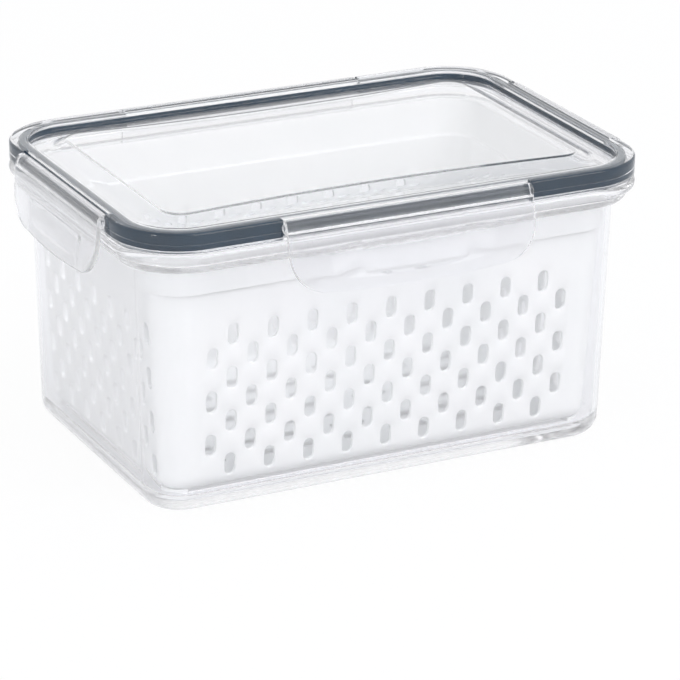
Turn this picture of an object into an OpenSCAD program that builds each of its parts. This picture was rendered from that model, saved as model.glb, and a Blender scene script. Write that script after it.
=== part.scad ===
// Produce keeper: a clear box with a drainer basket inside and a sealed lid
// that four hinged flaps lock on to the box.
// X runs along the length, -Y is the front, Z is up, and the origin is the
// middle of the base. Flaps are drawn unsnapped, hanging a little outwards.

/* [Rim] */
// Length over the rim of the lid
rim_l = 179.6; // [168:0.2:230]
// Width over the rim of the lid
rim_w = 122; // [118:0.2:170]
// Corner radius of the rim, which every ring of the box is offset from
rim_r = 22; // [21:0.5:26]
// Radius on the outer top edges of rim and collar
edge_r = 1.2; // [0.6:0.1:1.6]

/* [Box] */
// Height of the box, up to its sealing lip
box_h = 91.2; // [80:0.2:140]
// Thickness of the box wall
wall_t = 1.5; // [1.2:0.1:1.9]
// Draft of the box wall in degrees
wall_draft = 1.6; // [0.5:0.05:1.8]
// Thickness of the box floor
floor_t = 2.2; // [1.6:0.1:3]
// Height of the foot ring under the floor
foot_h = 1.8; // [1:0.1:2.5]
// Width of the flat land on the foot ring
foot_land = 3; // [1:0.1:4]
// Radius of the box's bottom edge
base_r = 6; // [4:0.5:7]
// Height of the sealing lip over the collar
lip_h = 2.7; // [2.4:0.1:4]
// Thickness of the sealing lip
lip_t = 1.2; // [1:0.1:1.5]
// How far the lip stands out past the wall below it
neck_out = 2.9; // [0.6:0.1:3.2]
// Thickness of the collar that the flaps hook under
collar_t = 3.7; // [3:0.1:5]
// How far the collar stands out past the rim
collar_out = 0.2; // [0:0.05:0.4]
// Height of the step below the collar
step_h = 3.4; // [2:0.1:5]
// How far the step stays inside the collar's edge
step_in = 2.6; // [2.2:0.1:3.5]

/* [Basket] */
// Room between the basket's rim and the box
basket_gap = 0.7; // [0.5:0.1:1.5]
// Thickness of the basket wall
basket_t = 1.5; // [1.2:0.1:2]
// Draft of the basket wall in degrees
basket_draft = 3; // [2:0.1:3.4]
// Distance of the basket's rim below the box's lip
basket_drop = 5; // [4:0.5:9]
// Height of the plain band round the top of the basket
band_h = 14; // [8:0.5:16]
// How far the band stands out from the basket wall
band_step = 1; // [0.6:0.1:1.4]
// Thickness of the basket floor
drain_t = 1.5; // [1.2:0.1:2]
// Height of the corner feet that keep the basket out of the wet
basket_foot_h = 1.5; // [1:0.1:3]
// Radius of the basket's bottom edge
basket_base_r = 5; // [3.5:0.5:6]

/* [Slots] */
// Width of a wall slot
slot_w = 3.6; // [2:0.1:4]
// Height of a wall slot, over its round ends
slot_h = 7.2; // [5:0.1:8]
// Height of the lowest slot centre above the basket's floor
slot_start = 6.1; // [5:0.1:8]
// Rise from one slot to the next in a column
slot_rise = 14.7; // [12:0.1:15]
// Slots in a tall column, the short columns between have one less
slot_rows = 4; // [2:1:4]
// Columns in the long walls
long_cols = 19; // [5:2:19]
// Pitch of the columns in the long walls
long_pitch = 6.8; // [5:0.05:6.9]
// Columns in the short walls
short_cols = 13; // [5:2:13]
// Pitch of the columns in the short walls
short_pitch = 6.4; // [5:0.05:6.5]
// Length of a drain slot in the floor
drain_l = 12; // [6:0.5:14]
// Drain slots along the floor
drain_cols = 7; // [3:1:7]
// Drain slots across the floor
drain_rows = 7; // [3:1:9]
// Pitch of the drain slots along the floor
drain_pitch_x = 18; // [16:0.5:18]
// Pitch of the drain slots across the floor
drain_pitch_y = 10; // [8:0.5:10]

/* [Lid] */
// Width of the rim outside the seal
ring_w = 3.2; // [3:0.1:4]
// Thickness of the lid's plate and of the roof over the seal
lid_t = 1.2; // [1:0.1:1.6]
// Thickness of the wall inside the seal
dam_t = 0.8; // [0.7:0.1:1.2]
// Gap between the rim and the collar of the box
rim_gap = 0.7; // [0.4:0.1:1]
// Height of the lid's plate over the box's lip
plate_rise = 2; // [1:0.1:2.4]
// Distance of the raised panel from the rim's outer face
panel_in = 16; // [13:0.5:20]
// Height of the raised panel over the plate
panel_h = 2.6; // [2:0.1:6]
// Width of the panel's sloping edge
panel_slope = 1.2; // [1:0.1:4]
// Corner radius of the panel at its foot
panel_r = 9; // [7:0.5:12]
// How far the panel's long sides curve in at the middle
panel_waist = 4; // [2:0.5:6]

/* [Seal] */
// Thickness of the seal over the lip
seal_t = 3.2; // [2.4:0.1:4]
// Thickness of the seal's skirt outside the lip
skirt_t = 0.5; // [0.4:0.1:0.8]
// How far the skirt hangs below the top of the lip
skirt_l = 1.7; // [1:0.1:1.8]
// Room between the skirt and the lip
skirt_gap = 0.25; // [0.2:0.05:0.4]
// Room between the lip and the lid's inner wall
lip_gap = 0.3; // [0.2:0.05:0.5]

/* [Flaps] */
// Width of the flaps on the long sides
long_flap_w = 85; // [60:1:100]
// Width of the flaps on the short sides
short_flap_w = 66; // [40:1:68]
// Length of the long sides' flaps below the hinge
long_flap_l = 22.2; // [18:0.2:26]
// Length of the short sides' flaps below the hinge
short_flap_l = 20.2; // [18:0.1:24]
// Thickness of a flap
flap_t = 1.4; // [1.3:0.1:1.8]
// Radius of a flap's lower corners
flap_r = 12; // [4:0.5:12]
// How far a flap's lower edge bows down in the middle
flap_bow = 2; // [1:0.1:3]
// Thickness that the finger lip adds at the middle of a long side's flap
long_lip = 1; // [0.5:0.1:2]
// Thickness that the finger lip adds at the middle of a short side's flap
short_lip = 0.4; // [0.3:0.1:1]
// Height of the finger lip
lip_band = 4; // [3:0.1:6]
// Distance of the finger lip's ends from the round corners
lip_end = 3; // [1:0.5:6]
// How far a snapped flap catches under the collar
catch_d = 0.45; // [0.3:0.05:0.5]
// Depth of the catch rib, down to its tip's lower edge
catch_h = 1; // [0.8:0.1:2]
// Room over the catch rib and between flap and collar
catch_gap = 0.25; // [0.2:0.05:0.4]
// Outer radius of the hinge barrel
barrel_r = 2.2; // [2:0.1:2.3]
// How far the barrel stands out past the flap's face
barrel_out = 0.2; // [0:0.1:0.4]
// Radius of the hinge bar on the lid
bar_r = 1; // [0.8:0.05:1.1]
// Running clearance of the barrel on the bar
bar_fit = 0.08; // [0.05:0.01:0.1]
// Width of the slit that lets the barrel clip over the bar
clip_slit = 1.5; // [1:0.1:1.6]
// Room round the barrel in its notch
notch_gap = 0.35; // [0.3:0.05:0.5]
// Angle of an unsnapped flap on the long sides from its snapped place
long_flare = 14; // [6:0.5:20]
// Angle of an unsnapped flap on the short sides from its snapped place
short_flare = 5.5; // [5.5:0.5:20]

/* [Hidden] */
$fn = 64;
over = 1;
// How far a corner circle runs past the edges that it joins, so that they cross
ease = 0.05;

// Half spans of the rim, and of the rectangle between its corner centres
hx = rim_l / 2;
hy = rim_w / 2;
cx = hx - rim_r;
cy = hy - rim_r;

// Heights
floor_z = foot_h + floor_t;
collar_top = box_h - lip_h;
collar_z = collar_top - collar_t;
step_z = collar_z - step_h;
rim_z = collar_top + rim_gap;
roof_z = box_h + seal_t;
rim_top = roof_z + lid_t;
plate_top = box_h + plate_rise;
plate_z = plate_top - lid_t;
panel_top = plate_top + panel_h;
basket_z = floor_z + basket_foot_h;
drain_z = basket_z + drain_t;
basket_top = box_h - basket_drop;
band_z = basket_top - band_h;

// Offsets from the rim's outer face, inwards negative
lip_o = -(ring_w + skirt_t + skirt_gap);
lip_in = lip_o - lip_t;
neck_o = lip_o - neck_out;
neck_in = neck_o - wall_t;
step_o = collar_out - step_in;
dam_o = lip_in - lip_gap;
dam_in = dam_o - dam_t;
basket_o = neck_in - basket_gap;
band_o = basket_o - band_h * tan(basket_draft);
body_o = band_o - band_step;

// Outer face of a flap from its hinge axis, and the axis from the rim
face_y = barrel_r - barrel_out;
axis_o = collar_out + catch_gap + flap_t - face_y;
axis_z = rim_top - notch_gap - barrel_r;
notch_o = axis_o - barrel_r - notch_gap;

// Offset of a wall that leans in by its draft below height top
function lean(o, top, draft, z) = o - (top - z) * tan(draft);
function wall_o(z) = lean(neck_o, step_z, wall_draft, z);
function side_o(z) = lean(body_o, band_z, basket_draft, z);
// Radius of a circle through the middle and ends of an arc
function arc_r(chord, rise) = (chord * chord / 4 + rise * rise) / (2 * rise);

// Quarter turns of a profile at the corners, x being the offset from the rim
module corners() {
    for (half = [0, 180]) rotate(half) {
        translate([cx, cy, 0])
            rotate_extrude(angle = 90) translate([rim_r, 0]) children();
        translate([-cx, cy, 0]) rotate(90)
            rotate_extrude(angle = 90) translate([rim_r, 0]) children();
    }
}

// The same profile along the four straight sides
module straights() {
    for (half = [0, 180]) rotate(half) {
        translate([-cx, 0, 0]) rotate([90, 0, 90])
            linear_extrude(2 * cx) translate([hy, 0]) children();
        translate([0, cy, 0]) rotate([90, 0, 0])
            linear_extrude(2 * cy) translate([hx, 0]) children();
    }
}

// A profile taken all the way round
module ring() {
    corners() children();
    straights() children();
}

// A solid body whose profile reaches in to the corner centres
module body(z0, z1) {
    ring() children();
    translate([-cx, -cy, z0]) cube([2 * cx, 2 * cy, z1 - z0]);
}

// Half section of a tub: its leaning side from a round bottom edge, then the
// points upper, which run on from the side's top and back to the corner centre
module tub_section(foot_o, z0, draft, r, upper) {
    round_o = foot_o + r * tan(draft) - r / cos(draft);
    polygon(concat([[-rim_r, z0], [round_o, z0],
                    [round_o + r * cos(draft), z0 + r - r * sin(draft)]], upper));
    translate([round_o, z0 + r]) intersection() {
        circle(r);
        translate([0, -r]) square(r);
    }
}

// A ledge section from o0 out to o1, with its outer top edge rounded
module ledge(o0, o1, z0, z1) {
    polygon([[o0, z0], [o1, z0], [o1, z1 - edge_r], [o1 - edge_r, z1], [o0, z1]]);
    translate([o1 - edge_r, z1 - edge_r]) circle(edge_r);
}

// Upright slot with round ends, centred
module slot(w, l) {
    square([w, l - w], center = true);
    for (end = [-1, 1]) translate([0, end * (l - w) / 2]) circle(w / 2);
}

// Columns of slots, tall and short ones by turns, the middle of the row at x = 0
module slot_field(cols, pitch, tall) {
    for (c = [0 : cols - 1]) {
        short = (c + tall) % 2;
        for (r = [0 : slot_rows - 1 - short])
            translate([(c - (cols - 1) / 2) * pitch,
                       drain_z + slot_start + (r + short / 2) * slot_rise])
                slot(slot_w, slot_h);
    }
}

module container() {
    color([0.90, 0.93, 0.96, 0.4]) difference() {
        union() {
            body(0, box_h)
                tub_section(wall_o(0), 0, wall_draft, base_r,
                            [[neck_o, step_z], [lip_o, step_z + neck_out], [lip_o, box_h],
                             [-rim_r, box_h]]);
            ring() {
                polygon([[neck_in + ease, step_z], [step_o, step_z], [step_o, collar_z + over],
                         [lip_in + ease, collar_z + over],
                         [lip_in + ease, step_z + lip_in - neck_in]]);
                ledge(lip_in + ease, collar_out, collar_z, collar_top);
            }
        }
        body(floor_z, box_h + over)
            tub_section(wall_o(floor_z) - wall_t, floor_z, wall_draft, base_r - wall_t,
                        [[neck_in, step_z], [lip_in, step_z + lip_in - neck_in],
                         [lip_in, box_h + over], [-rim_r, box_h + over]]);
        body(-over, foot_h) translate([-rim_r, -over])
            square([rim_r + wall_o(0) - base_r - foot_land, foot_h + over]);
    }
}

module basket() {
    foot_o = side_o(basket_z) - basket_foot_h;
    // A tight corner's foot ends at the corner's centre
    foot_i = max(foot_o - basket_base_r, -rim_r);
    color([0.98, 0.98, 0.98]) difference() {
        union() {
            body(basket_z, basket_top)
                tub_section(side_o(basket_z), basket_z, basket_draft, basket_base_r,
                            [[body_o, band_z], [band_o, band_z],
                             [basket_o, basket_top], [-rim_r, basket_top]]);
            corners() translate([foot_i, floor_z])
                square([foot_o - foot_i, basket_foot_h + drain_t]);
        }
        body(drain_z, basket_top + over)
            tub_section(side_o(drain_z) - basket_t, drain_z, basket_draft,
                        basket_base_r - basket_t,
                        [[body_o - basket_t, band_z],
                         [body_o - basket_t, band_z + basket_t],
                         [band_o - basket_t, band_z + basket_t],
                         [basket_o - basket_t, basket_top + over],
                         [-rim_r, basket_top + over]]);
        rotate([90, 0, 0]) translate([0, 0, -hy]) linear_extrude(rim_w)
            slot_field(long_cols, long_pitch, 1);
        rotate([90, 0, 90]) translate([0, 0, -hx]) linear_extrude(rim_l)
            slot_field(short_cols, short_pitch, 0);
        translate([0, 0, basket_z - over]) linear_extrude(drain_t + 2 * over)
            for (i = [0 : drain_cols - 1], j = [0 : drain_rows - 1])
                translate([(i - (drain_cols - 1) / 2) * drain_pitch_x,
                           (j - (drain_rows - 1) / 2) * drain_pitch_y])
                    rotate(90) slot(slot_w, drain_l);
    }
}

// The lid's raised panel, drawn in from its outline by inset
module panel(inset, z0, top) {
    px = hx - panel_in - inset;
    py = hy - panel_in - inset;
    pr = panel_r - inset;
    run = panel_slope * (top - z0) / (panel_h + over);
    waist_r = arc_r(2 * px, panel_waist);
    difference() {
        union() {
            for (sx = [-1, 1], sy = [-1, 1])
                translate([sx * (px - pr), sy * (py - pr), z0])
                    cylinder(r1 = pr, r2 = pr - run, h = top - z0);
            rotate([90, 0, 90]) translate([0, 0, pr - px])
                linear_extrude(2 * (px - pr)) panel_section(py, z0, top, run);
            rotate([90, 0, 0]) translate([0, 0, pr - py])
                linear_extrude(2 * (py - pr)) panel_section(px, z0, top, run);
        }
        for (side = [-1, 1])
            translate([0, side * (py - panel_waist + waist_r), z0 - over])
                cylinder(r1 = waist_r - run * over / (top - z0),
                         r2 = waist_r + run * (1 + over / (top - z0)),
                         h = top - z0 + 2 * over, $fn = 256);
    }
}

module panel_section(half, z0, top, run) {
    polygon([[-half, z0], [half, z0], [half - run, top], [run - half, top]]);
}

module lid() {
    color([0.92, 0.95, 0.97, 0.4]) {
        difference() {
            union() {
                ring() {
                    ledge(-ring_w, 0, rim_z, rim_top);
                    translate([dam_in, roof_z])
                        square([-ring_w - dam_in, rim_top - roof_z]);
                    translate([dam_in, plate_z])
                        square([dam_t, roof_z - plate_z]);
                }
                body(plate_z, plate_top) translate([-rim_r, plate_z])
                    square([rim_r + dam_in, lid_t]);
                panel(0, plate_top - over, panel_top);
            }
            panel(lid_t, plate_z - over, panel_top - lid_t);
            latch_places() latch_notch($flap_w);
        }
        latch_places() hinge_bar($flap_w);
    }
}

// Children at each hinge, turned so that Y points out of the box
module latch_places() {
    for (half = [0, 180]) {
        rotate(half) translate([0, hy + axis_o, axis_z]) {
            $flap_w = long_flap_w;
            children();
        }
        rotate(half - 90) translate([0, hx + axis_o, axis_z]) {
            $flap_w = short_flap_w;
            children();
        }
    }
}

module latch_notch(w) {
    translate([-w / 2 - notch_gap, notch_o - axis_o, rim_z - axis_z - over])
        cube([w + 2 * notch_gap, barrel_r + notch_gap - axis_o + over,
              rim_top - rim_z + 2 * over]);
}

module hinge_bar(w) {
    rotate([0, 90, 0]) cylinder(r = bar_r, h = w + 2 * notch_gap, center = true);
}

module seal_ring() {
    color([0.24, 0.30, 0.35]) ring() {
        translate([dam_o, box_h]) square([-ring_w - dam_o, seal_t]);
        translate([-ring_w - skirt_t, box_h - skirt_l]) square([skirt_t, skirt_l]);
    }
}

// Section of a snapped flap, with the rib that catches under the collar
module flap_section(l) {
    in_y = face_y - flap_t;
    tip_y = collar_out - catch_d - axis_o;
    rib_z = collar_z - catch_gap - axis_z;
    polygon([[face_y, 0], [face_y, -l], [in_y, -l],
             [in_y, rib_z - catch_h - 2 * (in_y - tip_y)],
             [tip_y, rib_z - catch_h], [tip_y, rib_z], [in_y, rib_z], [in_y, 0]]);
}

// Face of a flap, with its bowed lower edge and round lower corners
module flap_face(w, l) {
    bow_r = arc_r(w, flap_bow);
    corner_x = w / 2 - flap_r + ease;
    corner_z = bow_r - l - sqrt(bow_r * bow_r - corner_x * corner_x) + flap_r - ease;
    difference() {
        intersection() {
            translate([-w / 2, -l - over]) square([w, l + barrel_r + over]);
            translate([0, bow_r - l]) circle(bow_r, $fn = 512);
        }
        for (side = [0, 1]) mirror([side, 0]) difference() {
            translate([corner_x, corner_z - flap_r - over])
                square([flap_r + over, flap_r + over]);
            translate([corner_x, corner_z]) circle(flap_r);
        }
    }
}

// Flap with its hinge barrel on the X axis, Y pointing out of the box
module latch(w, l, lip, flare) {
    lip_r = arc_r(w - 2 * (flap_r + lip_end), lip);
    rotate([flare, 0, 0]) difference() {
        union() {
            rotate([0, 90, 0]) cylinder(r = barrel_r, h = w, center = true);
            intersection() {
                union() {
                    translate([-w / 2 - over, 0, 0]) rotate([90, 0, 90])
                        linear_extrude(w + 2 * over) flap_section(l + over);
                    translate([0, 0, -l - over])
                        linear_extrude(lip_band + over) intersection() {
                            translate([0, face_y + lip - lip_r])
                                circle(lip_r, $fn = 512);
                            translate([-w / 2, face_y - flap_t / 2])
                                square([w, flap_t + lip]);
                        }
                }
                rotate([90, 0, 0]) translate([0, 0, -barrel_r - lip - over])
                    linear_extrude(2 * (barrel_r + lip + over)) flap_face(w, l);
            }
        }
        rotate([0, 90, 0])
            cylinder(r = bar_r + bar_fit, h = w + 2 * over, center = true);
        translate([-w / 2 - over, -barrel_r - over, -clip_slit / 2])
            cube([w + 2 * over, barrel_r + over, clip_slit]);
    }
}

module long_latch() {
    color([0.93, 0.95, 0.97, 0.5]) translate([0, hy + axis_o, axis_z])
        latch(long_flap_w, long_flap_l, long_lip, long_flare);
}

module short_latch() {
    color([0.93, 0.95, 0.97, 0.5]) translate([0, hx + axis_o, axis_z])
        latch(short_flap_w, short_flap_l, short_lip, short_flare);
}

module front_latch() { rotate(180) long_latch(); }
module back_latch() { long_latch(); }
module left_latch() { rotate(90) short_latch(); }
module right_latch() { rotate(-90) short_latch(); }

container();
basket();
lid();
seal_ring();
front_latch();
back_latch();
left_latch();
right_latch();
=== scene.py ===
import bmesh
import bpy
import numpy as np
from mathutils import Matrix, Vector, geometry


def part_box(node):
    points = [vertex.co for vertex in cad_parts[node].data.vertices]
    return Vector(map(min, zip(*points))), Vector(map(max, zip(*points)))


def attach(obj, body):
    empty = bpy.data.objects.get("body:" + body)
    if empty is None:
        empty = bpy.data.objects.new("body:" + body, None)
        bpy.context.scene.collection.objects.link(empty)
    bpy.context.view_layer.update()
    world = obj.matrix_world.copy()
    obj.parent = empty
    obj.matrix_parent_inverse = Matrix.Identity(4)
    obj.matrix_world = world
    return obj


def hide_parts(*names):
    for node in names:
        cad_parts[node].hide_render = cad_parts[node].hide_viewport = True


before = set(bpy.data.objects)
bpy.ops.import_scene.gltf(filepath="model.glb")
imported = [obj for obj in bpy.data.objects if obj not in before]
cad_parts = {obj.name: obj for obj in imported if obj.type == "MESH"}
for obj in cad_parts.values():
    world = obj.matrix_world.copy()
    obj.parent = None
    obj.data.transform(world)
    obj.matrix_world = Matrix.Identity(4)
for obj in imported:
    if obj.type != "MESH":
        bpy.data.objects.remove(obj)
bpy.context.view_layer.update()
mm = 0.001  # sizes below are in millimetres, meshes are in metres


# low and high corner of a CAD node, in millimetres
def nodeBox(node):
    return [np.array(corner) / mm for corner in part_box(node)]


boxHigh = nodeBox("container")[1]
basketLow, basketHigh = nodeBox("basket")
lidLow, lidHigh = nodeBox("lid")
sealLow, sealHigh = nodeBox("seal_ring")

# every ring of the keeper is an offset of the lid's rim, a rounded rectangle
ringWidth = 3.2  # of the rim outside the seal
rim = dict(halfX=sealHigh[0] + ringWidth, halfY=sealHigh[1] + ringWidth, cornerRadius=22.0, cornerSteps=18)
coreX = rim["halfX"] - rim["cornerRadius"]
coreY = rim["halfY"] - rim["cornerRadius"]
print("frame loaded, rim", round(2 * rim["halfX"], 1), "x", round(2 * rim["halfY"], 1), "mm")


# Shapes

# arc length of a quarter turn, of the whole path, and at the middle of each side
# (front, right, back, left), on the path whose corners have this radius
def pathMarks(turnRadius):
    quarter = turnRadius * np.pi / 2
    hop = coreX + quarter + coreY
    return quarter, 4 * hop, np.array([0, hop, 2 * hop, 3 * hop])


# where the path is after arc length s from the middle of the front, going round
# anticlockwise: a point on the rectangle between the corner centres, and the outward
# normal, which stands still along a side and turns a quarter at each corner
def pathAt(s, turnRadius):
    starts = np.array([(-coreX, -coreY), (coreX, -coreY), (coreX, coreY), (-coreX, coreY)])
    quarter = pathMarks(turnRadius)[0]
    lengths = np.array([2 * coreX, quarter, 2 * coreY, quarter] * 2)
    ends = np.concatenate([[0], np.cumsum(lengths)])
    along = (s + coreX) % ends[-1]
    leg = np.clip(np.searchsorted(ends, along, side="right") - 1, 0, 7)
    share = (along - ends[leg]) / lengths[leg]
    side, turning = leg // 2, leg % 2
    step = np.where(turning, 1.0, share)[..., None]
    base = starts[side] + step * (starts[(side + 1) % 4] - starts[side])
    angle = (side + turning * share - 1) * np.pi / 2
    return base, np.stack([np.cos(angle), np.sin(angle)], -1)


# arc lengths that a sweep stops at: all round the corners, and at the extra ones
def pathStops(turnRadius, extra=()):
    quarter, total, middles = pathMarks(turnRadius)
    halves = np.array([coreX, coreY, coreX, coreY])
    turn = np.linspace(0, quarter, rim["cornerSteps"] + 1)
    corners = (middles + halves)[:, None] + turn
    stops = np.concatenate([corners.ravel(), np.ravel(extra)]) % total
    return np.unique(np.round(stops, 5))


# a polyline whose inner corners become arcs: each arc starts r tan(turn / 2) before its
# corner and runs r sin a along the old edge and r (1 - cos a) towards the new one
def rounded(corners, radii, steps=5):
    p = np.array(corners, float)
    r = np.array(radii, float)[:, None, None]
    before, after = np.diff(p, axis=0)[:-1], np.diff(p, axis=0)[1:]
    before = before / np.linalg.norm(before, axis=1, keepdims=True)
    after = after / np.linalg.norm(after, axis=1, keepdims=True)
    cross = before[:, 0] * after[:, 1] - before[:, 1] * after[:, 0]
    turn = np.arctan2(cross, (before * after).sum(1))
    towards = np.sign(turn)[:, None] * np.stack([-before[:, 1], before[:, 0]], 1)
    start = p[1:-1] - before * (r[:, 0] * np.tan(np.abs(turn) / 2)[:, None])
    a = (np.abs(turn)[:, None] * np.linspace(0, 1, steps + 1))[..., None]
    arcs = start[:, None] + r * np.sin(a) * before[:, None] + r * (1 - np.cos(a)) * towards[:, None]
    line = np.vstack([p[:1], arcs.reshape(-1, 2), p[-1:]])
    apart = np.linalg.norm(np.diff(line, axis=0), axis=1) > 1e-4
    return line[np.concatenate([[True], apart])]


# the same for a closed outline
def roundedLoop(corners, radii, steps=4):
    return rounded([corners[-1], *corners, corners[0]], radii, steps)[1:-1]


# flat loops, one for each point of a profile, lifted to the profile's heights
def lifted(flat, profile):
    heights = np.broadcast_to(profile[:, 1, None, None], flat.shape[:2] + (1,))
    return np.concatenate([flat, heights], 2)


# a profile of (offset from the rim's outer face, height) carried along a path:
# the path's point plus its normal times corner radius plus offset
def sweep(profile, path):
    base, normal = path
    return lifted(base + normal * (rim["cornerRadius"] + profile[:, :1, None]), profile)


# four-sided faces over a grid of point numbers, joined round where it wraps
def gridFaces(numbers, wrapRows=False, wrapColumns=True):
    if wrapRows:
        numbers = np.vstack([numbers, numbers[:1]])
    if wrapColumns:
        numbers = np.hstack([numbers, numbers[:, :1]])
    corners = [numbers[:-1, :-1], numbers[:-1, 1:], numbers[1:, 1:], numbers[1:, :-1]]
    return np.stack(corners, -1).reshape(-1, 4).tolist()


# skin over a stack of loops, closed by a point in the middle of the end loops (poles),
# by a flat face on each (caps), or by joining the last loop to the first (wrapRows)
def loft(loops, wrapRows=False, poles=False, caps=False):
    rows, columns = loops.shape[:2]
    numbers = np.arange(rows * columns).reshape(rows, columns)
    points = loops.reshape(-1, 3)
    faces = gridFaces(numbers, wrapRows)
    if poles:
        points = np.vstack([points, loops[0].mean(0), loops[-1].mean(0)])
        bottom = np.full(columns, rows * columns)
        faces += np.stack([bottom, np.roll(numbers[0], -1), numbers[0]], 1).tolist()
        faces += np.stack([numbers[-1], np.roll(numbers[-1], -1), bottom + 1], 1).tolist()
    if caps:
        faces += [numbers[0][::-1].tolist(), numbers[-1].tolist()]
    return points, faces


# one mesh object from (points, faces) patches whose shared edges are welded, riding on
# a body in place of a CAD node
def makePiece(name, patches, body, node, finish, crease=32, weldMm=0.002):
    starts = np.cumsum([0] + [len(points) for points, _ in patches])
    points = np.vstack([points for points, _ in patches]) * mm
    faces = [[int(start) + k for k in face]
             for start, (_, patch) in zip(starts, patches) for face in patch]
    mesh = bpy.data.meshes.new(name)
    mesh.from_pydata(points.tolist(), [], faces)
    weld = bmesh.new()
    weld.from_mesh(mesh)
    bmesh.ops.remove_doubles(weld, verts=weld.verts, dist=weldMm * mm)
    weld.to_mesh(mesh)
    weld.free()
    mesh.polygons.foreach_set("use_smooth", np.ones(len(mesh.polygons), bool))
    mesh.set_sharp_from_angle(angle=np.radians(crease))
    mesh.update()
    piece = bpy.data.objects.new(name, mesh)
    bpy.context.scene.collection.objects.link(piece)
    mesh.materials.append(finish)
    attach(piece, body)
    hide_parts(node)
    print("piece", name, len(mesh.polygons), "faces")


# Materials

# sRGB hex colour to linear, as the shader wants it
def linear(hexColour):
    c = np.array([int(hexColour[i:i + 2], 16) for i in (1, 3, 5)]) / 255
    c = np.where(c <= 0.04045, c / 12.92, ((c + 0.055) / 1.055) ** 2.4)
    return (*c.tolist(), 1.0)


# adds a node, sets its inputs or properties by name and links outputs to its inputs
def addNode(tree, kind, settings=None, links=None):
    node = tree.nodes.new(kind)
    for name, value in (settings or {}).items():
        if isinstance(name, int) or name in node.inputs:
            node.inputs[name].default_value = value
        else:
            setattr(node, name, value)
    for name, output in (links or {}).items():
        tree.links.new(output, node.inputs[name])
    return node


def emptyMaterial(name):
    material = bpy.data.materials.new(name)
    material.use_nodes = True
    material.node_tree.nodes.clear()
    return material, material.node_tree


noiseSpread = (0.3, 0.7)  # most of a noise's values lie between these


# noise on the piece's own coordinates, with lumps of about this size
def noiseOf(tree, place, lumpMm, detail):
    return addNode(tree, "ShaderNodeTexNoise", {"Scale": 1 / (lumpMm * mm), "Detail": detail},
                   {"Vector": place.outputs["Object"]})


# roughness that follows a noise from low to high
def roughnessOf(tree, noise, low, high):
    return addNode(tree, "ShaderNodeMapRange",
                   {"From Min": noiseSpread[0], "From Max": noiseSpread[1], "To Min": low, "To Max": high},
                   {"Value": noise.outputs["Fac"]})


# ramp between two hex colours that starts and ends at these values
def rampOf(tree, value, stops, colours):
    ramp = addNode(tree, "ShaderNodeValToRGB", None, {"Fac": value})
    for element, position, colour in zip(ramp.color_ramp.elements, stops, colours):
        element.color = linear(colour)
        element.position = position
    return ramp


# relief of this depth that follows a noise
def reliefOf(tree, noise, depthMm):
    return addNode(tree, "ShaderNodeBump", {"Strength": 1.0, "Distance": depthMm * mm},
                   {"Height": noise.outputs["Fac"]})


# Clear moulded plastic from a polished tool: it bends what is behind it, takes a faint
# cool tint that builds up along its edges, and its reflections waver with the melt's flow.
# Lamp rays pass straight through, as thin walls let them.
def clearPlastic(name, tint, ior, roughLow, roughHigh, waveMm, waveDepthMm):
    material, tree = emptyMaterial(name)
    place = addNode(tree, "ShaderNodeTexCoord")
    haze = noiseOf(tree, place, 2 * waveMm, 2.0)
    rough = roughnessOf(tree, haze, roughLow, roughHigh)
    wave = reliefOf(tree, noiseOf(tree, place, waveMm, 1.0), waveDepthMm)
    plastic = addNode(tree, "ShaderNodeBsdfPrincipled",
                      {"Base Color": linear(tint), "IOR": ior, "Transmission Weight": 1.0},
                      {"Roughness": rough.outputs["Result"], "Normal": wave.outputs["Normal"]})
    through = addNode(tree, "ShaderNodeBsdfTransparent", {"Color": linear(tint)})
    rays = addNode(tree, "ShaderNodeLightPath")
    both = addNode(tree, "ShaderNodeMixShader", None,
                   {0: rays.outputs["Is Shadow Ray"], 1: plastic.outputs["BSDF"],
                    2: through.outputs["BSDF"]})
    addNode(tree, "ShaderNodeOutputMaterial", None, {"Surface": both.outputs["Shader"]})
    return material


# Solid-coloured moulded plastic or rubber: a fine spark-eroded skin that breaks the gloss,
# with a slow drift of shade where the melt cooled unevenly
def solidMoulding(name, shade, deep, ior, roughLow, roughHigh, grainMm, grainDepthMm, driftMm):
    material, tree = emptyMaterial(name)
    place = addNode(tree, "ShaderNodeTexCoord")
    drift = noiseOf(tree, place, driftMm, 2.0)
    colour = rampOf(tree, drift.outputs["Fac"], noiseSpread, (deep, shade))
    grain = noiseOf(tree, place, grainMm, 3.0)
    rough = roughnessOf(tree, grain, roughLow, roughHigh)
    skin = reliefOf(tree, grain, grainDepthMm)
    plastic = addNode(tree, "ShaderNodeBsdfPrincipled", {"IOR": ior},
                      {"Base Color": colour.outputs["Color"], "Roughness": rough.outputs["Result"],
                       "Normal": skin.outputs["Normal"]})
    addNode(tree, "ShaderNodeOutputMaterial", None, {"Surface": plastic.outputs["BSDF"]})
    return material


clearPet = clearPlastic("mouldedClearPet", "#FCFCFD", 1.52, 0.04, 0.1, 24, 0.006)
clearLidPet = clearPlastic("mouldedClearLidPet", "#FBFBFC", 1.52, 0.01, 0.04, 20, 0.006)
clearFlapPp = clearPlastic("mouldedClearPolypropylene", "#FDFDFE", 1.49, 0.13, 0.21, 14, 0.004)
whitePp = solidMoulding("mouldedWhitePolypropylene", "#FCFCFC", "#F8F9F9", 1.49, 0.36, 0.46, 0.5, 0.004, 30)
greySilicone = solidMoulding("mouldedSlateSilicone", "#20384B", "#1B3041", 1.41, 0.34, 0.46, 0.6, 0.006, 12)
print("materials made")


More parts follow.
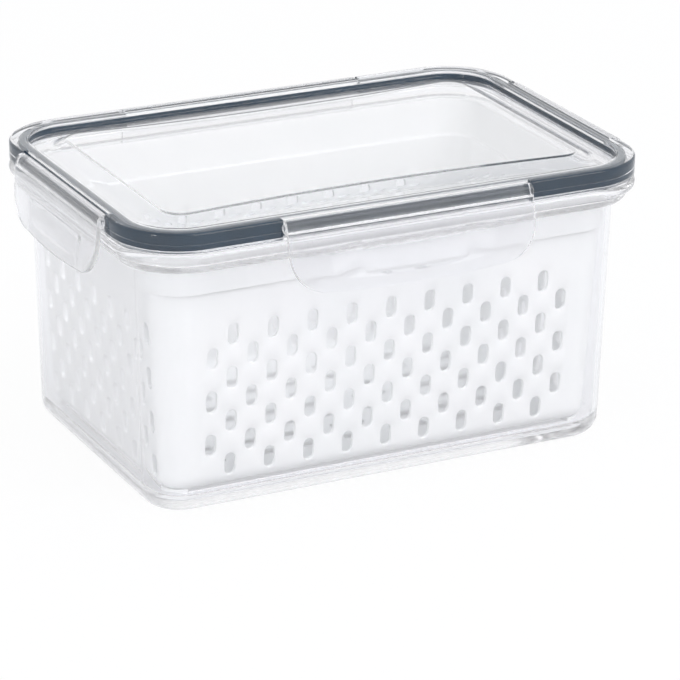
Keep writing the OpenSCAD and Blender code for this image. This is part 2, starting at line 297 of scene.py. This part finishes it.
# Clear box: foot ring, drafted wall, step, collar and sealing lip
clearBox = dict(wall=1.5, draft=1.6, floor=2.2, foot=1.8, footLand=3.0, baseRadius=6.0,
                lip=1.2, lipHeight=2.7, lipInset=3.95, neckOut=2.9, collar=3.7, step=3.4, stepIn=2.6,
                edge=1.8, softEdge=0.5, stepEdge=2.0, stepCove=0.7, neckEdge=1.0, baseReach=2.0,
                floorReach=8.0, arcSteps=7)


# profile from the middle of the base, out and up the outer wall, over the lip, and down
# the inner wall to the middle of the floor
def boxProfile(size):
    top = boxHigh[2]
    collarTop = top - size["lipHeight"]
    collarLow = collarTop - size["collar"]
    stepLow = collarLow - size["step"]
    lipOut = -size["lipInset"]
    lipIn = lipOut - size["lip"]
    neckOut = lipOut - size["neckOut"]
    neckIn = neckOut - size["wall"]
    collarOut = boxHigh[0] - rim["halfX"]
    stepOut = collarOut - size["stepIn"]
    lean = np.tan(np.radians(size["draft"]))
    footOut = neckOut - stepLow * lean
    landIn = footOut - size["baseRadius"] - size["footLand"]
    floorTop = size["foot"] + size["floor"]
    floorOut = neckIn - (stepLow - floorTop) * lean
    soft = size["softEdge"]
    baseIn, floorIn = landIn - size["baseReach"], floorOut - size["floorReach"]
    corners = [(baseIn, size["foot"]), (landIn, size["foot"]), (landIn, 0), (footOut, 0),
               (neckOut, stepLow), (stepOut, stepLow), (stepOut, collarLow), (collarOut, collarLow),
               (collarOut, collarTop), (lipOut, collarTop), (lipOut, top), (lipIn, top),
               (lipIn, stepLow + lipIn - neckIn), (neckIn, stepLow), (floorOut, floorTop),
               (floorIn, floorTop)]
    radii = [soft, soft, size["baseRadius"], soft, size["stepEdge"], size["stepCove"],
             size["edge"], size["edge"], soft, soft, soft, size["neckEdge"], size["neckEdge"],
             size["baseRadius"] - size["wall"]]
    return rounded(corners, radii, size["arcSteps"])


boxStops = pathStops(rim["cornerRadius"])
boxLoops = sweep(boxProfile(clearBox), pathAt(boxStops, rim["cornerRadius"]))
makePiece("clearBoxShell", [loft(boxLoops, poles=True)], "container", "container", clearPet)


# White drainer basket: plain band, slotted walls, slotted floor and corner feet
basket = dict(wall=1.5, draft=3.0, rimInset=9.05, bandHeight=14.0, bandStep=1.0, floor=1.5, foot=1.5,
              baseRadius=5.0, footInset=1.5, slotWidth=3.6, slotHeight=7.2, slotStart=6.1, slotRise=14.7,
              slotRows=4, columns=(19, 13, 19, 13), pitches=(6.8, 6.4, 6.8, 6.4), outerShort=(1, 0, 1, 0),
              drainLength=12.0, drainColumns=7, drainRows=7, drainPitchX=18.0, drainPitchY=10.0,
              edge=0.35, edgeLow=4.2, across=4, halfRise=4, cornerSteps=12, rest=0.03,
              bandEdges=(0.3, 0.4, 0.5, 0.5, 0.4, 0.4, 0.4), footEdges=(0.4, 0.4, 0.1, 0.1),
              footSink=0.5, footSteps=16, roundSteps=5)
basketTop = basketHigh[2]
basketBottom = basketLow[2] + basket["foot"]
drainTop = basketBottom + basket["floor"]
bandLow = basketTop - basket["bandHeight"]
basketLean = np.tan(np.radians(basket["draft"]))
bandOut = -basket["rimInset"] - basket["bandHeight"] * basketLean
wallOut = bandOut - basket["bandStep"]
basketTurn = rim["cornerRadius"] + wallOut - (bandLow - basketBottom) / 2 * basketLean


# offset of a leaning wall with a round foot: a circle of radius r that touches the floor
# plane at z0 and the leaning line below its tangent point, and the line above it
def tubOffset(z, topOut, z0, r):
    line = topOut - (bandLow - z) * basketLean
    slant = np.hypot(1, basketLean)
    centre = topOut - (bandLow - z0) * basketLean + r * basketLean - r * slant
    touch = z0 + r - r * basketLean / slant
    arc = centre + np.sqrt(np.maximum(r * r - (z0 + r - z) ** 2, 0))
    return np.where(z > touch, line, arc)


# a point of the wall at arc length s, height z and depth d below its outer face
def wallPoint(s, z, d):
    share = d / basket["wall"]
    outside = tubOffset(z, wallOut, basketBottom, basket["baseRadius"])
    inside = tubOffset(z, wallOut - basket["wall"], drainTop, basket["baseRadius"] - basket["wall"])
    offset = outside + (inside - outside) * share
    base, normal = pathAt(s, basketTurn)
    flat = base + normal * (rim["cornerRadius"] + offset)[..., None]
    return np.concatenate([flat, np.broadcast_to(z, s.shape)[..., None]], -1)


# the border of a unit cell from -1 to 1, walked anticlockwise from its lower left corner
def cellBorder(across, up):
    x = np.linspace(-1, 1, across + 1)[:-1]
    y = np.linspace(-1, 1, up + 1)[:-1]
    edges = [(x, -np.ones(across)), (np.ones(up), y), (-x, np.ones(across)), (-np.ones(up), -y)]
    return np.hstack(edges)


# the slot's outline under each border point: points beside the straight part go straight
# in, the others go to the round end along the line from the end's centre
def slotOutline(border, halfX, halfY, width, length, outset):
    straight = (length - width) / 2
    reach = halfY / 2
    y = border[1] * halfY
    axis = np.clip(y * straight / reach, -straight, straight)
    way = np.stack([border[0] * halfX, np.sign(y) * np.maximum(np.abs(y) - reach, 0)])
    way = way / np.linalg.norm(way, axis=0)
    return np.stack([np.zeros_like(axis), axis]) + (width / 2 + outset) * way


# how a slot's edge turns through the wall: outset and depth of each ring, a quarter round
# of radius r at either face
def edgeRings(r, thickness):
    soft = r * (1 - np.sqrt(0.5))
    half = [(r, 0), (soft, soft), (0, r)]
    return half + [(e, thickness - d) for e, d in half[::-1]]


# levels half a rise apart that the slot cells span, the lowest drawn up over the round foot
firstSlot = drainTop + basket["slotStart"]
levels = firstSlot + (np.arange(2 * basket["slotRows"] + 1) - 1) * basket["slotRise"] / 2
levels[0] = firstSlot - basket["edgeLow"]
fineLevels = np.interp(np.arange(2 * basket["slotRows"] * basket["halfRise"] + 1) / basket["halfRise"],
                       np.arange(len(levels)), levels)


# one wall: every slot is a cell of rings from its border on the outer face, round its
# edges through the wall, to its border on the inner face, all cells worked out at once
def slottedWall(middle, columns, pitch, outerShort):
    c = np.arange(columns)
    short = (c + outerShort) % 2
    row = np.arange(basket["slotRows"])
    column, low = [v.ravel() for v in np.broadcast_arrays(c[:, None], 2 * row + short[:, None])]
    keep = low + 2 < len(levels)
    column, low = column[keep], low[keep]
    centre = middle + (column - (columns - 1) / 2) * pitch
    border = cellBorder(basket["across"], 2 * basket["halfRise"])
    rings = edgeRings(basket["edge"], basket["wall"])
    outlines = np.array([slotOutline(border, pitch / 2, basket["slotRise"] / 2, basket["slotWidth"],
                                     basket["slotHeight"], e) for e, _ in rings])
    edgeS = centre[:, None] + border[0] * pitch / 2
    below, above = levels[low + 1] - levels[low], levels[low + 2] - levels[low + 1]
    edgeZ = levels[low + 1][:, None] + np.where(border[1] < 0, below[:, None], above[:, None]) * border[1]
    slotS = centre[:, None, None] + outlines[:, 0]
    slotZ = levels[low + 1][:, None, None] + outlines[:, 1]
    s = np.concatenate([edgeS[:, None], slotS, edgeS[:, None]], 1)
    z = np.concatenate([edgeZ[:, None], slotZ, edgeZ[:, None]], 1)
    d = np.array([0] + [depth for _, depth in rings] + [basket["wall"]])[:, None]
    points = wallPoint(s, z, np.broadcast_to(d, s.shape))
    cells, ringCount, ringSize = s.shape
    first = np.array(gridFaces(np.arange(ringCount * ringSize).reshape(ringCount, ringSize)))
    faces = (first + (np.arange(cells) * ringCount * ringSize)[:, None, None]).reshape(-1, 4)
    patches = [(points.reshape(-1, 3), faces.tolist())]
    for gap in c[short == 1]:  # half cells over and under the shorter columns
        sides = middle + (gap - columns / 2 + np.linspace(0, 1, basket["across"] + 1)) * pitch
        patches += plainWall(sides, fineLevels[:basket["halfRise"] + 1])
        patches += plainWall(sides, fineLevels[-basket["halfRise"] - 1:])
    return patches


# both faces of a stretch of wall without slots, on a grid of arc lengths and heights
def plainWall(stops, heights):
    s, z = np.meshgrid(stops, heights)
    numbers = np.arange(s.size).reshape(s.shape)
    outer = wallPoint(s, z, np.zeros(s.shape)).reshape(-1, 3)
    inner = wallPoint(s, z, np.full(s.shape, basket["wall"])).reshape(-1, 3)
    return [(outer, gridFaces(numbers, wrapColumns=False)),
            (inner, gridFaces(numbers[:, ::-1], wrapColumns=False))]


# a flat sheet with holes at one height, triangulated between its outlines: the faces that
# only the outer outline owns are kept
def pierced(outline, holes, height, upwards):
    loops = [outline, *holes]
    starts = np.cumsum([0] + [len(loop) for loop in loops])
    rings = [list(range(a, b)) for a, b in zip(starts[:-1], starts[1:])]
    flat = [Vector(p) for p in np.vstack(loops)]
    points, _, faces, _, _, owners = geometry.delaunay_2d_cdt(flat, [], rings, 1, 1e-5)
    faces = [face if upwards else face[::-1] for face, owner in zip(faces, owners) if owner == [0]]
    points = np.array(points)
    return np.column_stack([points, np.full(len(points), height)]), faces


patches = []
middles = pathMarks(basketTurn)[2]
spans = np.array(basket["columns"]) * np.array(basket["pitches"]) / 2
zones = zip(middles, basket["columns"], basket["pitches"], basket["outerShort"])
allStops = []
for side, (middle, columns, pitch, outerShort) in enumerate(zones):
    patches += slottedWall(middle, columns, pitch, outerShort)
    nextStart = middles[(side + 1) % 4] - spans[(side + 1) % 4] + (side == 3) * pathMarks(basketTurn)[1]
    turn = np.linspace(middle + spans[side], nextStart, basket["cornerSteps"] + 1)
    patches += plainWall(turn, fineLevels)
    zoneStops = np.linspace(middle - spans[side], middle + spans[side], columns * basket["across"] + 1)
    allStops += [zoneStops[:-1], turn[:-1]]
basketPath = pathAt(np.concatenate(allStops), basketTurn)

# the plain band: up from the slots, out over the step, round the rim and down inside
insideOut = wallOut - basket["wall"]
highLevel = levels[-1]
rise = (bandLow - highLevel) * basketLean
bandInLow = bandLow + basket["wall"]
bandProfile = rounded(
    [(wallOut - rise, highLevel), (wallOut, bandLow), (bandOut, bandLow), (-basket["rimInset"], basketTop),
     (-basket["rimInset"] - basket["wall"], basketTop), (bandOut - basket["wall"], bandInLow),
     (insideOut, bandInLow), (insideOut, bandLow), (insideOut - rise, highLevel)],
    basket["bandEdges"])
patches.append(loft(sweep(bandProfile, basketPath)))


# the round foot of one face of the wall, from its floor up to the lowest slots
def footProfile(topOut, z0, r):
    low = np.arccos(np.clip((z0 + r - levels[0]) / r, -1, 1))
    z = z0 + r - r * np.cos(np.linspace(0, low, basket["roundSteps"] + 1))
    z[-1] = levels[0]
    return np.column_stack([tubOffset(z, topOut, z0, r), z])


outerFoot = sweep(footProfile(wallOut, basketBottom, basket["baseRadius"]), basketPath)
innerFoot = sweep(footProfile(insideOut, drainTop, basket["baseRadius"] - basket["wall"]), basketPath)
patches += [loft(outerFoot), loft(innerFoot[::-1])]

# drain slots in the floor, lying along it
drainBorder = cellBorder(basket["across"], 2 * basket["halfRise"])
drainX = (np.arange(basket["drainColumns"]) - (basket["drainColumns"] - 1) / 2) * basket["drainPitchX"]
drainY = (np.arange(basket["drainRows"]) - (basket["drainRows"] - 1) / 2) * basket["drainPitchY"]
drainPlaces = np.stack(np.meshgrid(drainX, drainY), -1).reshape(-1, 1, 2)
drainRings = edgeRings(basket["edge"], basket["floor"])
drainLoops = []
for outset, depth in drainRings:
    outline = slotOutline(drainBorder, basket["drainPitchY"] / 2, basket["drainPitchX"] / 2,
                          basket["slotWidth"], basket["drainLength"], outset)
    flat = drainPlaces + np.stack([outline[1], -outline[0]], -1)
    height = np.full(flat.shape[:2] + (1,), basketBottom + depth)
    drainLoops.append(np.concatenate([flat, height], 2))
drainLoops = np.stack(drainLoops, 1)
patches += [loft(hole[:, ::-1]) for hole in drainLoops]
patches.append(pierced(outerFoot[0, :, :2], drainLoops[:, 0, :, :2], basketBottom, False))
patches.append(pierced(innerFoot[0, :, :2], drainLoops[:, -1, :, :2], drainTop, True))

# four corner feet: a rounded bar carried round each corner, let into the floor
footOut = wallOut - (bandLow - basketBottom) * basketLean - basket["footInset"]
footIn = footOut - basket["baseRadius"]
footLow = basketLow[2] + basket["rest"]
footTop = basketBottom + basket["footSink"]
footSection = roundedLoop([(footIn, footLow), (footOut, footLow), (footOut, footTop), (footIn, footTop)],
                          basket["footEdges"])
quarter, _, rimMiddles = pathMarks(rim["cornerRadius"])
for side, half in enumerate((coreX, coreY, coreX, coreY)):
    turn = rimMiddles[side] + half + np.linspace(0, quarter, basket["footSteps"] + 1)
    bar = sweep(footSection, pathAt(turn, rim["cornerRadius"]))
    patches.append(loft(bar.transpose(1, 0, 2)[::-1], caps=True))
makePiece("whiteDrainerBasket", patches, "basket", "basket", whitePp)


# Clear lid: rim over the seal, wall inside it, plate with a waisted raised panel, hinge bars
lid = dict(thick=1.2, damInset=5.45, dam=0.8, plateRise=2.0, panelInset=17.2, panelRadius=7.8,
           panelAngle=30.0, panelCove=6.0, panelEdge=2.4, waist=4.0, edge=1.0, softEdge=0.4, waistSteps=40,
           channelEdge=0.2, lowEdge=0.5, damEdge=0.6, panelFlat=5.0, plateReach=7.0, damReach=2.0,
           arcSteps=9, notchStops=(-0.02, 0, 0.03, 0.12, 0.25))
flaps = dict(widths=(85.0, 66.0, 85.0, 66.0), lengths=(22.2, 20.2, 22.2, 20.2), lips=(1.0, 0.4, 1.0, 0.4),
             flares=(14.0, 5.5, 14.0, 5.5), thick=1.4, cornerRadius=12.0, bow=2.0, lipBand=4.0, lipEnd=3.0,
             catchTop=8.5, catchDepth=0.7, catchHeight=1.0, barrel=2.2, barrelOut=0.2, bar=1.0,
             axisInset=0.15, axisBelow=2.55, room=0.35, edge=0.35, sideEdge=0.25,
             barSides=24, barGap=0.02, barSink=0.3, edgeStops=24, cornerSteps=14, crownStops=48,
             sideShare=0.3, ribInset=1.0, ribFade=1.5, spareGap=0.1, toeStops=5,
             lipOut=(1, 0.93, 0.6, 0.0), lipUp=(-0.9, -0.35, 0.0, 0.5))
sealRoof = sealHigh[2]
rimTop = sealRoof + lid["thick"]
axisZ = rimTop - flaps["axisBelow"]
notchIn = -flaps["axisInset"] - flaps["barrel"] - flaps["room"]


# how far out the rim may reach at arc length s: back to the notch wall behind a flap, and
# with rounded upright edges beside it
def notchLimit(s):
    _, total, middles = pathMarks(rim["cornerRadius"])
    half = np.array(flaps["widths"]) / 2 + flaps["room"]
    away = np.abs((s[:, None] - middles + total / 2) % total - total / 2) - half
    past = np.clip(lid["softEdge"] - away, 0, lid["softEdge"])
    edge = np.sqrt(lid["softEdge"] ** 2 - past ** 2) - lid["softEdge"]
    return np.where(away < 0, notchIn, edge).min(1)


# the raised panel's edge moved out by the profile's offset: a rounded rectangle like the
# rim's whose long sides are drawn in by a parabola, most at the middle
def panelLoops(profile, path):
    base, normal = path
    px, py = rim["halfX"] - lid["panelInset"], rim["halfY"] - lid["panelInset"]
    pr = lid["panelRadius"]
    core = base * np.array([(px - pr) / coreX, (py - pr) / coreY])
    flat = core + normal * (pr + profile[:, :1, None])
    waist = lid["waist"] / py * np.clip(1 - (flat[..., 0] / px) ** 2, 0, None)
    flat[..., 1] *= 1 - waist
    return lifted(flat, profile)


# the lid's skin in one stack of loops: under the panel and plate, round the channel and the
# rim with its notches, and over the plate and panel
def lidShell():
    thick, soft = lid["thick"], lid["softEdge"]
    panelTop, plateTop = lidHigh[2], boxHigh[2] + lid["plateRise"]
    plateLow = plateTop - thick
    angle = np.radians(lid["panelAngle"])
    run = (panelTop - plateTop) / np.tan(angle)
    skin = thick * np.tan(angle / 2)
    damOut = -lid["damInset"]
    damIn = damOut - lid["dam"]
    rimLow = lidLow[2]
    flat, reach, plateOut = lid["panelFlat"], lid["plateReach"], damIn - lid["damReach"]
    channel, dam = lid["channelEdge"], lid["damEdge"]
    under = rounded([(-flat, panelTop - thick), (-skin, panelTop - thick), (run - skin, plateLow),
                     (reach, plateLow)],
                    [lid["panelEdge"] - thick, lid["panelCove"] + thick], lid["arcSteps"])
    around = rounded([(plateOut, plateLow), (damOut, plateLow), (damOut, sealRoof),
                      (-ringWidth, sealRoof), (-ringWidth, rimLow), (0, rimLow),
                      (0, rimTop), (damIn, rimTop), (damIn, plateTop), (plateOut, plateTop)],
                     [soft, channel, channel, soft, lid["lowEdge"], lid["edge"], dam, dam])
    over = rounded([(reach, plateTop), (run, plateTop), (0, panelTop), (-flat, panelTop)],
                   [lid["panelCove"], lid["panelEdge"]], lid["arcSteps"])
    _, _, middles = pathMarks(rim["cornerRadius"])
    ends = np.array(flaps["widths"]) / 2 + flaps["room"]
    near = np.array([*lid["notchStops"], soft])
    notchStops = middles[:, None, None] + np.array([[-1], [1]]) * (ends[:, None, None] + near)
    bend = np.linspace(-coreX, coreX, lid["waistSteps"] + 1)
    stops = pathStops(rim["cornerRadius"], np.concatenate(
        [notchStops.ravel(), bend, middles[2] + bend]))
    path = pathAt(stops, rim["cornerRadius"])
    rimLoops = sweep(around, path)
    out = np.minimum(around[:, :1], notchLimit(stops)) + rim["cornerRadius"]
    rimLoops[..., :2] = path[0] + path[1] * out[..., None]
    return loft(np.concatenate([panelLoops(under, path), rimLoops, panelLoops(over, path)]), poles=True)


# turns a flap's own frame (x along the hinge, y out of the box, origin on the hinge axis)
# to its side of the lid: front, right, back, left
def atSide(points, side, flare=0.0):
    f, turn = np.radians(flare), np.radians((180, -90, 0, 90)[side])
    half = (rim["halfY"], rim["halfX"])[side % 2]
    x, y, z = np.moveaxis(points, -1, 0)
    out = y * np.cos(f) - z * np.sin(f) + half - flaps["axisInset"]
    up = y * np.sin(f) + z * np.cos(f) + axisZ
    return np.stack([x * np.cos(turn) - out * np.sin(turn), x * np.sin(turn) + out * np.cos(turn), up], -1)


# the hinge bar where it shows, between an end of the notch and the barrel: a circle
# carried along x
def barEnd(side, end):
    a = np.linspace(0, 2 * np.pi, flaps["barSides"], endpoint=False)
    near = flaps["widths"][side] / 2 + flaps["barGap"]
    x = np.sort(end * np.array([near, near + flaps["room"] + flaps["barSink"]]))
    section = np.stack([np.zeros_like(a), np.cos(a), np.sin(a)], -1) * flaps["bar"]
    return loft(atSide(section + np.stack([x, 0 * x, 0 * x], -1)[:, None], side), caps=True)


barEnds = [barEnd(side, end) for side in range(4) for end in (-1, 1)]
makePiece("clearLidShell", [lidShell()] + barEnds, "lid", "lid", clearLidPet)


# Slate seal in the lid's channel: a block over the lip and a skirt outside it, pressed a hair
# into the channel's side walls so that they show it dark, with a film of air under the roof
# that mirrors the sky
seal = dict(skirt=0.5, groove=0.15, room=0.04, press=0.04, film=0.05, edge=0.25,
            skirtEdges=(0.1, 0.2, 0.15), grooveHalf=0.2, grooveEdge=0.04)
sealBase = boxHigh[2] + seal["room"]
sealOut = seal["press"] - ringWidth
sealIn = -lid["damInset"] - seal["press"]
skirtIn = sealOut - seal["skirt"]
sealTop = sealRoof - seal["film"]
grooveLow, grooveHigh = sealBase - seal["grooveHalf"], sealBase + seal["grooveHalf"]
sealSection = roundedLoop(
    [(sealIn, sealBase), (skirtIn, sealBase), (skirtIn, sealLow[2]), (sealOut, sealLow[2]),
     (sealOut, grooveLow), (sealOut - seal["groove"], sealBase), (sealOut, grooveHigh),
     (sealOut, sealTop), (sealIn, sealTop)],
    [seal["edge"], *seal["skirtEdges"], *[seal["grooveEdge"]] * 3, seal["edge"], seal["edge"]])
sealLoops = sweep(sealSection, pathAt(boxStops, rim["cornerRadius"]))
makePiece("slateSeal", [loft(sealLoops, wrapRows=True)], "lid", "seal_ring", greySilicone)


# Snap flaps

# a flap is its section carried along the hinge: a barrel, drawn solid as the photograph
# shows no bore through the clear plastic, a flat face, a catch rib behind and a finger lip.
# The lower edge goes down with the flap's outline at x, a wide arc between two round corners
def flapLoops(side):
    w, length, lipHeight = (flaps[k][side] for k in ("widths", "lengths", "lips"))
    barrel, r, f, sideEdge = flaps["barrel"], flaps["cornerRadius"], flaps["edge"], flaps["sideEdge"]
    faceY = barrel - flaps["barrelOut"]
    inY = faceY - flaps["thick"]
    bowR = (w * w / 4 + flaps["bow"] ** 2) / (2 * flaps["bow"])
    cornerX = w / 2 - sideEdge - r

    def lowEdge(x):
        return bowR - length - np.sqrt(bowR * bowR - x * x)

    def arc(start, end, count):
        return np.radians(np.linspace(start, end, count))

    phi = np.linspace(0, np.pi / 2, flaps["cornerSteps"] + 1)[1:]
    straight = np.linspace(0, cornerX, flaps["edgeStops"])
    low = np.concatenate([lowEdge(straight), lowEdge(cornerX) + r - r * np.cos(phi)])
    sideSoft = sideEdge * flaps["sideShare"]
    right = np.concatenate([straight, cornerX + r * np.sin(phi), [w / 2 - sideSoft, w / 2]])
    low = np.concatenate([low, low[-1:], low[-1:]])
    inset = np.zeros(len(right))
    inset[-2:] = sideSoft, sideEdge
    x = np.concatenate([-right[:0:-1], right])[:, None]
    low = np.concatenate([low[:0:-1], low])[:, None]
    inset = np.concatenate([inset[:0:-1], inset])[:, None]
    lip = lipHeight * np.clip(1 - (x / (w / 2 - r - flaps["lipEnd"])) ** 2, 0, None)
    ribEnd = w / 2 - r - flaps["ribInset"]
    rib = flaps["catchDepth"] * np.clip((ribEnd - np.abs(x)) / flaps["ribFade"], 0, 1)
    heel, toe = arc(180, 270, flaps["toeStops"]), arc(270, 360, flaps["toeStops"])
    crown = arc(-np.degrees(np.arccos(faceY / barrel)), 360 - np.degrees(np.arccos(inY / barrel)),
                flaps["crownStops"])
    lipY, lipZ = np.array(flaps["lipOut"]), np.array(flaps["lipUp"])
    ribLow = flaps["catchHeight"]
    ribZ = -flaps["catchTop"] - np.array([0, 0, ribLow, ribLow + flaps["ribFade"]])
    spare = low + f + flaps["spareGap"] * np.arange(4, 0, -1)
    y = [inY + f + f * np.cos(heel) + 0 * x, faceY - f + lip + f * np.cos(toe), faceY + lip * lipY,
         barrel * np.cos(crown) + 0 * x, inY - rib * np.array([0, 1, 1, 0])]
    z = [low + f + f * np.sin(heel), low + f + f * np.sin(toe), low + flaps["lipBand"] + lipZ,
         barrel * np.sin(crown) + 0 * x, np.maximum(ribZ, spare)]
    section = np.stack([np.hstack(y), np.hstack(z)], -1)
    tangent = np.roll(section, -1, 1) - np.roll(section, 1, 1)
    inward = np.stack([-tangent[..., 1], tangent[..., 0]], -1)
    inward = inward / np.maximum(np.linalg.norm(inward, axis=-1, keepdims=True), 1e-9)
    section = section + inset[..., None] * inward
    across = np.broadcast_to(x, section.shape[:2])[..., None]
    return atSide(np.concatenate([across, section], -1), side, flaps["flares"][side])


for side, place in enumerate(("front", "right", "back", "left")):
    node = place + "_latch"
    skin = loft(flapLoops(side), caps=True)
    makePiece(place + "SnapFlap", [skin], node, node, clearFlapPp)


# Stage

# the larger of two values
def larger(tree, one, other):
    return addNode(tree, "ShaderNodeMath", {"operation": "MAXIMUM"}, {0: one, 1: other})


# pale floor: the camera sees it as white as the backdrop with a trace of the soft shadow, and
# clear plastic shows it as the same white with more of the cool shade that lies under the keeper
floorLook = dict(half=3.0, below=0.0002, paper="#F3F5FA", seenShare=0.94, glassShare=0.5)
floorMesh = bpy.data.meshes.new("paleFloor")
h = floorLook["half"]
floorMesh.from_pydata([(x, y, -floorLook["below"]) for x, y in ((-h, -h), (h, -h), (h, h), (-h, h))],
                      [], [(0, 1, 2, 3)])
floor = bpy.data.objects.new("paleFloor", floorMesh)
bpy.context.scene.collection.objects.link(floor)
paper, tree = emptyMaterial("whitePaperFloor")
rays = addNode(tree, "ShaderNodeLightPath")
glass = larger(tree, rays.outputs["Is Glossy Ray"], rays.outputs["Is Transmission Ray"])
glass = addNode(tree, "ShaderNodeMath", {"operation": "MULTIPLY", 1: floorLook["glassShare"]},
                {0: glass.outputs[0]})
seen = addNode(tree, "ShaderNodeMath", {"operation": "MULTIPLY", 1: floorLook["seenShare"]},
               {0: rays.outputs["Is Camera Ray"]})
share = larger(tree, seen.outputs[0], glass.outputs[0])
matt = addNode(tree, "ShaderNodeBsdfDiffuse", {"Color": linear(floorLook["paper"])})
glow = addNode(tree, "ShaderNodeEmission", {"Color": linear("#FFFFFF"), "Strength": 1.0})
both = addNode(tree, "ShaderNodeMixShader", None,
               {0: share.outputs[0], 1: matt.outputs["BSDF"], 2: glow.outputs["Emission"]})
addNode(tree, "ShaderNodeOutputMaterial", None, {"Surface": both.outputs["Shader"]})
floorMesh.materials.append(paper)

# world: white wherever it is seen or mirrored near the horizon, greyer overhead, soft fill elsewhere
worldLight = dict(fill=0.86, overhead="#DADFE5", horizon="#FFFFFF", turns=(0.45, 0.85))
world = bpy.data.worlds.new("softStudio")
bpy.context.scene.world = world
world.use_nodes = True
tree = world.node_tree
tree.nodes.clear()
rays = addNode(tree, "ShaderNodeLightPath")
seen = larger(tree, rays.outputs["Is Camera Ray"], rays.outputs["Is Glossy Ray"])
seen = larger(tree, seen.outputs[0], rays.outputs["Is Transmission Ray"])
place = addNode(tree, "ShaderNodeTexCoord")
parts = addNode(tree, "ShaderNodeSeparateXYZ", None, {0: place.outputs["Generated"]})
sky = rampOf(tree, parts.outputs["Z"], worldLight["turns"], (worldLight["horizon"], worldLight["overhead"]))
backdrop = addNode(tree, "ShaderNodeBackground", {"Strength": 1.0}, {"Color": sky.outputs["Color"]})
fill = addNode(tree, "ShaderNodeBackground", {"Color": linear("#FFFFFF"), "Strength": worldLight["fill"]})
both = addNode(tree, "ShaderNodeMixShader", None,
               {0: seen.outputs[0], 1: fill.outputs[0], 2: backdrop.outputs[0]})
addNode(tree, "ShaderNodeOutputWorld", None, {"Surface": both.outputs["Shader"]})


# unit vector from the keeper towards a lamp or camera: azimuth as seen from above with 0 in front
def wayTo(azimuth, elevation):
    a, e = np.radians(azimuth), np.radians(elevation)
    return Vector((np.sin(a) * np.cos(e), -np.cos(a) * np.cos(e), np.sin(e)))


# soft boxes aimed at the middle of the keeper
softBoxes = dict(key=dict(azimuth=25, elevation=48, distance=1.3, width=0.9, height=0.9, watts=5.8),
                 strip=dict(azimuth=-62, elevation=22, distance=1.2, width=0.14, height=0.7, watts=1.7))
aim = Vector((0, 0, boxHigh[2] / 2)) * mm
for name, box in softBoxes.items():
    back = wayTo(box["azimuth"], box["elevation"])
    lamp = bpy.data.lights.new(name + "SoftBox", "AREA")
    lamp.shape = "RECTANGLE"
    lamp.size, lamp.size_y, lamp.energy = box["width"], box["height"], box["watts"]
    held = bpy.data.objects.new(name + "SoftBox", lamp)
    facing = back.to_track_quat("Z", "Y").to_matrix().to_4x4()
    held.matrix_world = Matrix.Translation(aim + back * box["distance"]) @ facing
    bpy.context.scene.collection.objects.link(held)

# camera at the photograph's angle: it circles a point 48 mm up and is moved across its own view
view = dict(azimuth=-26.94, elevation=21.35, roll=0.67, distance=1182.8, focalPixels=3646.5, picture=680,
            height=48.0, right=6.55, up=-18.33, sensor=36.0, clip=(0.05, 20))
back = wayTo(view["azimuth"], view["elevation"])
turn, roll = np.radians(view["azimuth"]), np.radians(view["roll"])
right = Vector((np.cos(turn), np.sin(turn), 0))
up = back.cross(right)
right, up = right * np.cos(roll) + up * np.sin(roll), up * np.cos(roll) - right * np.sin(roll)
spot = Vector((0, 0, view["height"])) + back * view["distance"] + right * view["right"] + up * view["up"]
lens = bpy.data.cameras.new("viewCamera")
lens.sensor_width = view["sensor"]
lens.lens = view["focalPixels"] / view["picture"] * view["sensor"]
lens.clip_start, lens.clip_end = view["clip"]
camera = bpy.data.objects.new("viewCamera", lens)
camera.matrix_world = Matrix.Translation(spot * mm) @ Matrix((right, up, back)).transposed().to_4x4()
bpy.context.scene.collection.objects.link(camera)
bpy.context.scene.camera = camera
bpy.context.scene.view_settings.view_transform = "Standard"

# light that crosses many clear walls needs many bounces, or their edges go black
bounces = 96
cycles = bpy.context.scene.cycles
for kind in ("max_bounces", "glossy_bounces", "transmission_bounces", "transparent_max_bounces"):
    setattr(cycles, kind, bounces)
print("stage, lamps and camera made")
